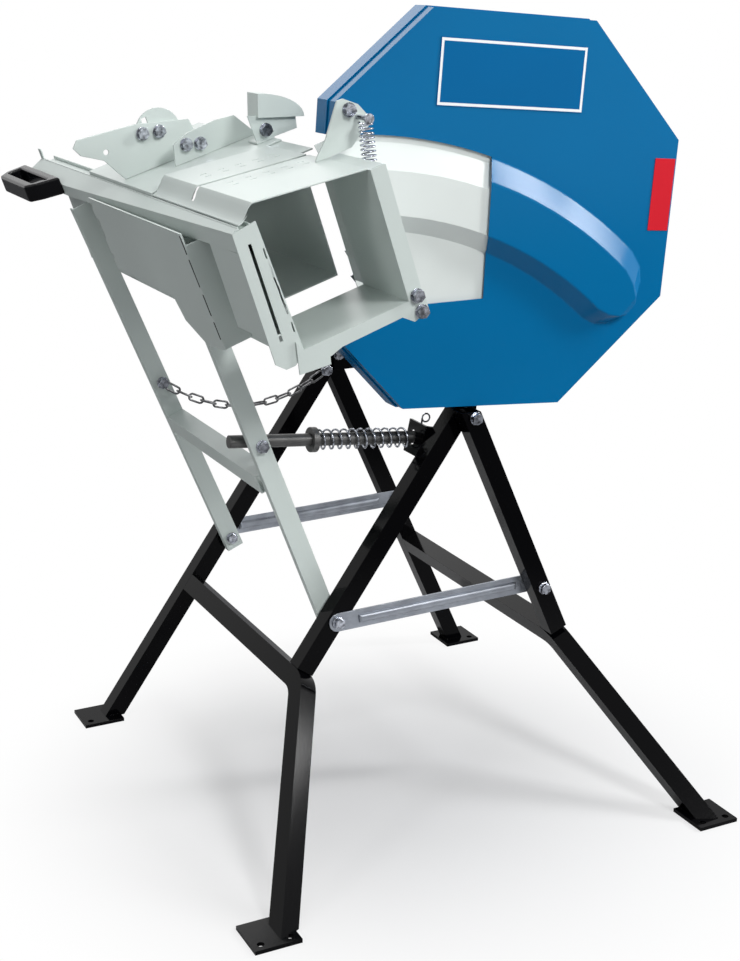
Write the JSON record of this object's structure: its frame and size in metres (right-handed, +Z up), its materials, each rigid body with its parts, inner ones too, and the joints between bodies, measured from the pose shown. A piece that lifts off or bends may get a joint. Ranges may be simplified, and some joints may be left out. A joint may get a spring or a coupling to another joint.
{
  "type": "firewood circular saw",
  "caption": "Log saw: a leaning trough rocks on a tube trestle and feeds firewood into a guarded circular blade.",
  "frame": {"origin": "middle of the bounding box, at the floor under the feet", "axes": "+Z up, +Y along the log and the blade's shaft away from the open front, +X from the rocking trough to the blade guard"},
  "size_m": [0.733, 0.875, 1.0126],
  "materials": {
    "black_paint": "gloss",
    "grey_paint": "satin",
    "guard_blue": "gloss",
    "panel_blue": "gloss",
    "label_red": "gloss",
    "zinc_plate": "satin",
    "zinc_screws": "satin",
    "spring_wire": "satin",
    "rod_steel": "satin",
    "bright_steel": "satin",
    "blade_steel": "polished",
    "black_plastic": "matte",
    "green_plastic": "gloss",
    "red_plastic": "gloss"
  },
  "bodies": {
    "stand": {"left_front_leg": "black_paint", "right_front_leg": "black_paint", "left_rear_leg": "black_paint", "right_rear_leg": "black_paint", "left_bent_tube": "black_paint", "right_bent_tube": "black_paint", "front_brace": "zinc_plate", "rear_brace": "zinc_plate", "front_pivot_bolt": "zinc_screws", "rear_pivot_bolt": "zinc_screws", "front_brace_bolt": "zinc_screws", "rear_brace_bolt": "zinc_screws", "front_apex_bolt": "zinc_screws", "rear_apex_bolt": "zinc_screws", "chain_end_bolt": "zinc_screws", "motor_stand": "black_paint", "motor_housing": "guard_blue", "motor_fan_cover": "black_plastic", "switch_box": "black_plastic", "guard_front_cover": "guard_blue", "guard_rear_cover": "guard_blue", "guard_panel": "panel_blue", "guard_label": "label_red", "guide_bracket": "black_paint", "limit_chain": "spring_wire"},
    "rocker": {"rocker_front_leg": "grey_paint", "rocker_rear_leg": "grey_paint", "rocker_cross_bar": "grey_paint", "trough_left_wall": "grey_paint", "front_tray": "grey_paint", "rear_tray": "grey_paint", "upper_lug_bolt": "zinc_screws", "lower_lug_bolt": "zinc_screws", "front_plate": "grey_paint", "side_plate": "grey_paint", "top_rail": "grey_paint", "handle": "black_plastic", "moving_guard": "grey_paint", "clamp_spring": "spring_wire", "rear_roof": "grey_paint", "hold_down_arm": "grey_paint", "half_moon_plate": "grey_paint", "arm_bolt_1": "zinc_screws", "arm_bolt_2": "zinc_screws", "stop_plate": "grey_paint", "hood": "grey_paint", "rod_bolt": "zinc_screws", "chain_bolt": "zinc_screws"},
    "clamp": {"clamp_roof": "grey_paint", "roof_lever": "grey_paint"},
    "rod": {"return_rod": "rod_steel", "rod_collar": "rod_steel", "return_spring": "spring_wire", "rod_clip": "spring_wire"},
    "arbor": {"arbor_shaft": "bright_steel", "outer_collar": "bright_steel", "arbor_nut": "bright_steel", "saw_blade": "blade_steel"},
    "start_button": {"start_button": "green_plastic"},
    "stop_button": {"stop_button": "red_plastic"}
  },
  "joints": [
    {"name": "rocker_swing", "type": "hinge", "parent": "stand", "child": "rocker", "pos_m": [-0.11651, -0.1505, 0.258], "axis": [0, 1, 0], "range_deg": [0, 18], "deforming": ["return_spring", "limit_chain"]},
    {"name": "rod_pivot", "type": "hinge", "parent": "rocker", "child": "rod", "pos_m": [-0.20289, -0.1075, 0.49474], "axis": [0, 1, 0], "range_deg": [-9.3, 0]},
    {"name": "clamp_hinge", "type": "hinge", "parent": "rocker", "child": "clamp", "pos_m": [-0.29866, -0.1505, 0.79531], "axis": [0, -1, 0], "range_deg": [0, 8], "deforming": ["clamp_spring"]},
    {"name": "blade_spin", "type": "hinge", "parent": "stand", "child": "arbor", "pos_m": [0.09906, -0.1505, 0.763], "axis": [0, 1, 0], "continuous": true},
    {"name": "start_button_press", "type": "slide", "parent": "stand", "child": "start_button", "axis": [-1, 0, 0], "range_m": [0, 0.003]},
    {"name": "stop_button_press", "type": "slide", "parent": "stand", "child": "stop_button", "axis": [-1, 0, 0], "range_m": [0, 0.003]}
  ],
  "couplings": [
    {"joint": "rod_pivot", "follows": "rocker_swing", "ratio": -0.5139}
  ]
}
